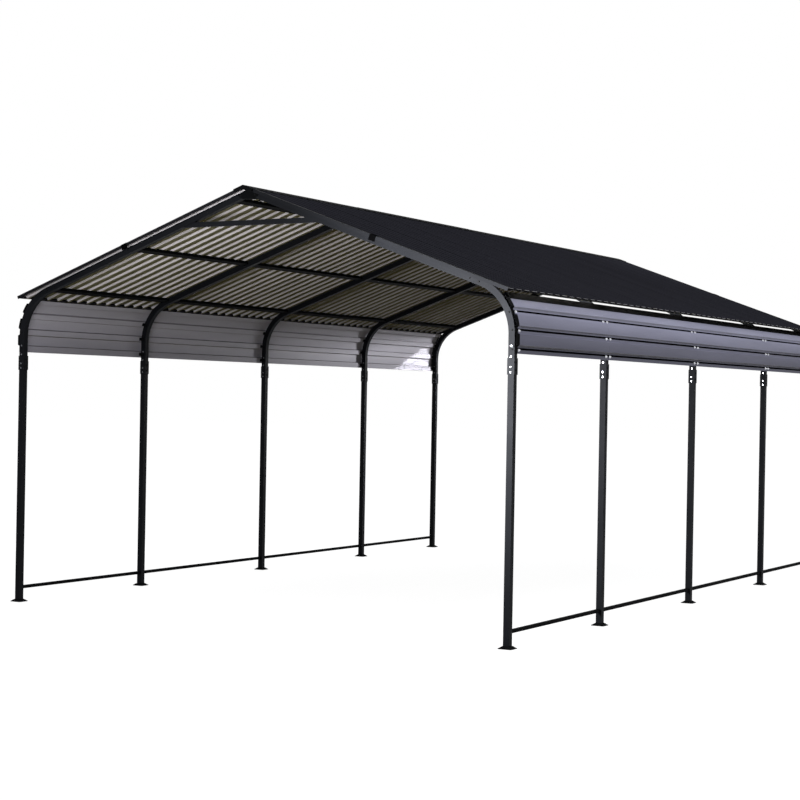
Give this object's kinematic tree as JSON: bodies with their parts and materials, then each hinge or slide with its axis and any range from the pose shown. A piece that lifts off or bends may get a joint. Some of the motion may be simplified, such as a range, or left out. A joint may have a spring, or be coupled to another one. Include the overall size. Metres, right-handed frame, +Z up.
{
  "type": "steel carport",
  "caption": "Free-standing steel carport of arched square-tube frames with purlins, a ribbed gable roof, a ridge cap, rake trims and curved ribbed side panels under the eaves.",
  "frame": {"origin": "on the ground, in the middle of the plan", "axes": "+X to the right across the building, +Y from the front gable to the back, +Z up"},
  "size_m": [3.676, 5.752, 2.6522],
  "materials": {
    "frame": "charcoal powder coat, satin",
    "foot": "charcoal powder coat, satin",
    "rail": "charcoal powder coat, satin",
    "purlin": "charcoal coated steel, satin",
    "roof_sheet": "charcoal coated steel sheet, satin",
    "panel_sheet": "slate grey coated steel sheet, satin",
    "trim": "charcoal coated steel sheet, satin"
  },
  "bodies": {
    "root": {"back_collar_tie": "frame", "eave_bends_1": "frame", "eave_bends_2": "frame", "eave_bends_3": "frame", "eave_bends_4": "frame", "eave_bends_5": "frame", "front_collar_tie": "frame", "left_back_rake_trim": "trim", "left_base_rails": "rail", "left_eave_purlins": "purlin", "left_feet": "foot", "left_front_rake_trim": "trim", "left_middle_purlins": "purlin", "left_post_1": "frame", "left_post_2": "frame", "left_post_3": "frame", "left_post_4": "frame", "left_post_5": "frame", "left_ridge_purlins": "purlin", "left_roof_sheets": "roof_sheet", "left_side_panels": "panel_sheet", "left_splice_sleeves": "frame", "panel_top_strips": "trim", "peak_brackets": "frame", "rafters_1": "frame", "rafters_2": "frame", "rafters_3": "frame", "rafters_4": "frame", "rafters_5": "frame", "ridge_cap": "trim", "right_back_rake_trim": "trim", "right_base_rails": "rail", "right_eave_purlins": "purlin", "right_feet": "foot", "right_front_rake_trim": "trim", "right_middle_purlins": "purlin", "right_post_1": "frame", "right_post_2": "frame", "right_post_3": "frame", "right_post_4": "frame", "right_post_5": "frame", "right_ridge_purlins": "purlin", "right_roof_sheets": "roof_sheet", "right_side_panels": "panel_sheet", "right_splice_sleeves": "frame"}
  },
  "joints": []
}
